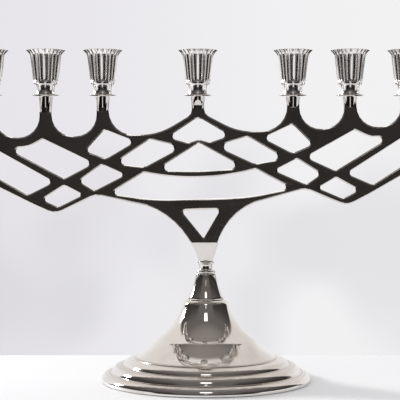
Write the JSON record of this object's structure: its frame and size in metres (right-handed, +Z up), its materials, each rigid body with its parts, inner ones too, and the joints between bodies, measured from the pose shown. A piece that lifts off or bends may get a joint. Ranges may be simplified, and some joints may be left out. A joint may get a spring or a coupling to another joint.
{
  "type": "menorah",
  "caption": "Table menorah: a level row of fluted candle cups over drip pans on an openwork branch frame, with a turned stem stack and a flared, stepped round foot.",
  "frame": {"origin": "on the table, on the axis of the foot, at the middle of the felt pad's underside", "axes": "+Z up; the row of cups runs along X; the front of the openwork faces -Y"},
  "size_m": [0.3994, 0.1464, 0.2312],
  "materials": {
    "stand_silver": "mirror-polished silver plate, turned and spun, faint turning lines",
    "cup_silver": "mirror-polished silver plate, fluted, slightly duller in the flutes",
    "frame_silver": "mirror-polished silver plate over a casting, edges softened",
    "steel": "plain zinc-grey steel, as machined",
    "felt": "dark green wool felt"
  },
  "bodies": {
    "stand": {"felt_pad": "felt", "ballast_plate": "steel", "base_bell": "stand_silver", "flared_sleeve": "stand_silver", "lower_ring": "stand_silver", "collar": "stand_silver", "upper_ring": "stand_silver", "tie_rod": "steel", "clamp_washer": "steel", "clamp_nut": "steel", "branch_frame": "frame_silver", "cup_stud_1": "steel", "cup_stud_2": "steel", "cup_stud_3": "steel", "cup_stud_4": "steel", "cup_stud_5": "steel", "cup_stud_6": "steel", "cup_stud_7": "steel", "cup_stud_8": "steel", "cup_stud_9": "steel", "drip_pan_1": "stand_silver", "drip_pan_2": "stand_silver", "drip_pan_3": "stand_silver", "drip_pan_4": "stand_silver", "drip_pan_5": "stand_silver", "drip_pan_6": "stand_silver", "drip_pan_7": "stand_silver", "drip_pan_8": "stand_silver", "drip_pan_9": "stand_silver"},
    "cup_1": {"candle_cup_1": "cup_silver"},
    "cup_2": {"candle_cup_2": "cup_silver"},
    "cup_3": {"candle_cup_3": "cup_silver"},
    "cup_4": {"candle_cup_4": "cup_silver"},
    "cup_5": {"candle_cup_5": "cup_silver"},
    "cup_6": {"candle_cup_6": "cup_silver"},
    "cup_7": {"candle_cup_7": "cup_silver"},
    "cup_8": {"candle_cup_8": "cup_silver"},
    "cup_9": {"candle_cup_9": "cup_silver"}
  },
  "joints": [
    {"name": "cup_1_lift", "type": "slide", "parent": "stand", "child": "cup_1", "axis": [0, 0, 1], "range_m": [0, 0.006]},
    {"name": "cup_2_lift", "type": "slide", "parent": "stand", "child": "cup_2", "axis": [0, 0, 1], "range_m": [0, 0.006]},
    {"name": "cup_3_lift", "type": "slide", "parent": "stand", "child": "cup_3", "axis": [0, 0, 1], "range_m": [0, 0.006]},
    {"name": "cup_4_lift", "type": "slide", "parent": "stand", "child": "cup_4", "axis": [0, 0, 1], "range_m": [0, 0.006]},
    {"name": "cup_5_lift", "type": "slide", "parent": "stand", "child": "cup_5", "axis": [0, 0, 1], "range_m": [0, 0.006]},
    {"name": "cup_6_lift", "type": "slide", "parent": "stand", "child": "cup_6", "axis": [0, 0, 1], "range_m": [0, 0.006]},
    {"name": "cup_7_lift", "type": "slide", "parent": "stand", "child": "cup_7", "axis": [0, 0, 1], "range_m": [0, 0.006]},
    {"name": "cup_8_lift", "type": "slide", "parent": "stand", "child": "cup_8", "axis": [0, 0, 1], "range_m": [0, 0.006]},
    {"name": "cup_9_lift", "type": "slide", "parent": "stand", "child": "cup_9", "axis": [0, 0, 1], "range_m": [0, 0.006]}
  ]
}
